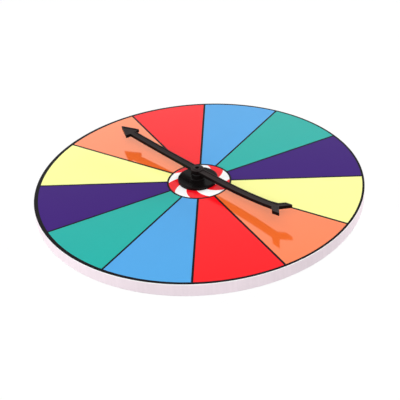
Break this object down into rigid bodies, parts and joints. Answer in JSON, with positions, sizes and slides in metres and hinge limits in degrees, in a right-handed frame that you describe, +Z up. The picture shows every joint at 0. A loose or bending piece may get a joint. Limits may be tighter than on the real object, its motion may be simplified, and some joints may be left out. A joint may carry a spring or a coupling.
{
  "type": "carnival game wheel",
  "caption": "Round table-top foam game board with a printed face of colour wedges round a peppermint swirl, and a long bowed plastic arrow that spins freely on a central pivot.",
  "frame": {"origin": "centre of the board's flat underside, on the surface that the board lies on", "axes": "+Z up out of the printed face, along the arrow's axis; +X to the right and +Y to the back as the picture shows the board"},
  "size_m": [0.4, 0.4, 0.0402],
  "materials": {
    "foam": "matte",
    "white_sheet": "satin",
    "purple_print": "satin",
    "teal_print": "satin",
    "blue_print": "satin",
    "red_print": "satin",
    "orange_print": "satin",
    "yellow_print": "satin",
    "black_print": "satin",
    "swirl_red_print": "satin",
    "base_plastic": "satin",
    "arrow_plastic": "satin",
    "rivet_plastic": "satin",
    "washer_nylon": "satin",
    "screw_steel": "satin"
  },
  "bodies": {
    "board": {"foam_disc": "foam", "face_sheet": "white_sheet", "purple_wedge_1": "purple_print", "teal_wedge_1": "teal_print", "blue_wedge_1": "blue_print", "red_wedge_1": "red_print", "orange_wedge_1": "orange_print", "yellow_wedge_1": "yellow_print", "purple_wedge_2": "purple_print", "teal_wedge_2": "teal_print", "blue_wedge_2": "blue_print", "red_wedge_2": "red_print", "orange_wedge_2": "orange_print", "yellow_wedge_2": "yellow_print", "line_print": "black_print", "red_swirl_1": "swirl_red_print", "red_swirl_2": "swirl_red_print", "red_swirl_3": "swirl_red_print", "red_swirl_4": "swirl_red_print", "red_swirl_5": "swirl_red_print", "spinner_base": "base_plastic", "pivot_rivet": "rivet_plastic", "thrust_washer": "washer_nylon", "rear_plate": "base_plastic", "rear_screw": "screw_steel"},
    "arrow": {"spinner_arrow": "arrow_plastic"}
  },
  "joints": [
    {"name": "arrow_spin", "type": "hinge", "parent": "board", "child": "arrow", "pos_m": [-0.0005, 0.0034, 0.03], "axis": [0, 0, 1], "continuous": true}
  ]
}
